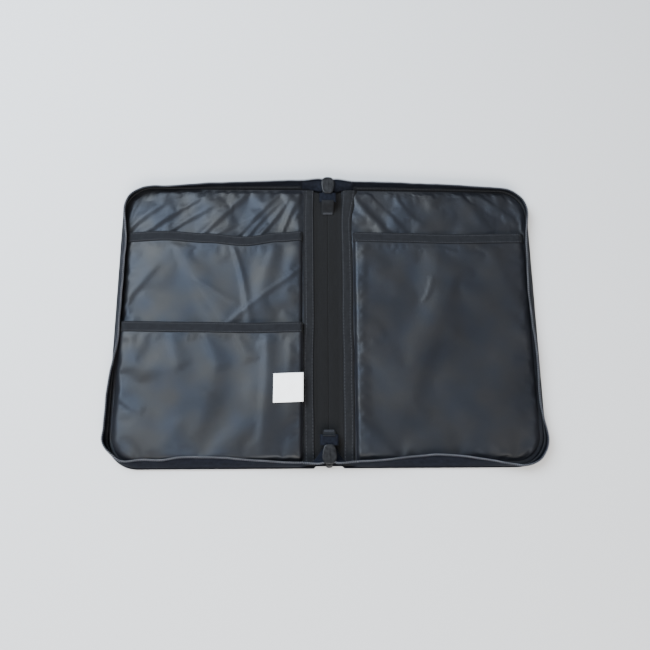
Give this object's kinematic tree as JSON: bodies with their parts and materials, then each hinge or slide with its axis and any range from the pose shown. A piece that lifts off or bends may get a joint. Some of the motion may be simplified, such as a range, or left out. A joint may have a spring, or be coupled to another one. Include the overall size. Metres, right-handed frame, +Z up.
{
  "type": "zip portfolio case",
  "caption": "Flat zip-round fabric portfolio case lying open, with two stiffened covers on a soft spine, inner pockets and a coil zip",
  "frame": {"origin": "middle of the spine's underside, on the surface that the open case lies on", "axes": "+X across the spine towards the cover with one pocket, +Y along the spine towards the pockets' mouths, +Z up out of the open case"},
  "size_m": [0.514, 0.3623, 0.0164],
  "materials": {
    "outer_cloth": "matt woven nylon",
    "lining_cloth": "smooth taffeta, satin sheen",
    "spine_cloth": "matt woven cloth",
    "binding_tape": "matt ribbed tape, stitched",
    "zip_tape": "matt woven tape",
    "zip_coil": "satin moulded coil",
    "zip_metal": "satin black die-cast",
    "label_cloth": "white woven satin, blank",
    "stiffener": "plain sheet, hidden",
    "foam": "closed foam, hidden"
  },
  "bodies": {
    "spine": {"spine_outer_cover": "outer_cloth", "spine_stiffener": "stiffener", "spine_lining": "spine_cloth", "top_tail_chain": "zip_coil", "top_tail_tape": "zip_tape", "top_end_stop": "zip_metal", "top_end_tab": "binding_tape", "bottom_tail_chain": "zip_coil", "bottom_tail_tape": "zip_tape", "bottom_end_stop": "zip_metal", "bottom_end_tab": "binding_tape"},
    "left_cover": {"left_outer_cover": "outer_cloth", "left_stiffener_board": "stiffener", "left_foam_padding": "foam", "left_lining": "lining_cloth", "left_piping": "outer_cloth", "left_spine_tape": "binding_tape", "left_zip_band": "zip_tape", "left_zip_coil": "zip_coil", "left_seam_tape": "binding_tape", "left_back_pocket": "lining_cloth", "left_back_pocket_tape": "binding_tape", "left_front_pocket": "lining_cloth", "left_front_pocket_tape": "binding_tape", "care_label": "label_cloth"},
    "right_cover": {"right_outer_cover": "outer_cloth", "right_stiffener_board": "stiffener", "right_foam_padding": "foam", "right_lining": "lining_cloth", "right_piping": "outer_cloth", "right_spine_tape": "binding_tape", "right_zip_band": "zip_tape", "right_zip_coil": "zip_coil", "right_seam_tape": "binding_tape", "right_pocket": "lining_cloth", "right_pocket_tape": "binding_tape"},
    "top_slider": {"top_slider_body": "zip_metal"},
    "bottom_slider": {"bottom_slider_body": "zip_metal"},
    "top_pull": {"top_pull_tab": "zip_metal"},
    "bottom_pull": {"bottom_pull_tab": "zip_metal"}
  },
  "joints": [
    {"name": "left_cover_fold", "type": "hinge", "parent": "spine", "child": "left_cover", "pos_m": [-0.017, 0, 0.0004], "axis": [0, 1, 0], "range_deg": [0, 90]},
    {"name": "right_cover_fold", "type": "hinge", "parent": "spine", "child": "right_cover", "pos_m": [0.017, 0, 0.0004], "axis": [0, -1, 0], "range_deg": [0, 90]},
    {"name": "top_slider_slide", "type": "slide", "parent": "spine", "child": "top_slider", "axis": [0, -1, 0], "range_m": [0, 0.008]},
    {"name": "bottom_slider_slide", "type": "slide", "parent": "spine", "child": "bottom_slider", "axis": [0, 1, 0], "range_m": [0, 0.008]},
    {"name": "top_pull_swing", "type": "hinge", "parent": "top_slider", "child": "top_pull", "pos_m": [0, 0.1781, 0.0075], "axis": [1, 0, 0], "range_deg": [-20, 36]},
    {"name": "bottom_pull_swing", "type": "hinge", "parent": "bottom_slider", "child": "bottom_pull", "pos_m": [0, -0.1626, 0.0075], "axis": [-1, 0, 0], "range_deg": [0, 18]}
  ]
}
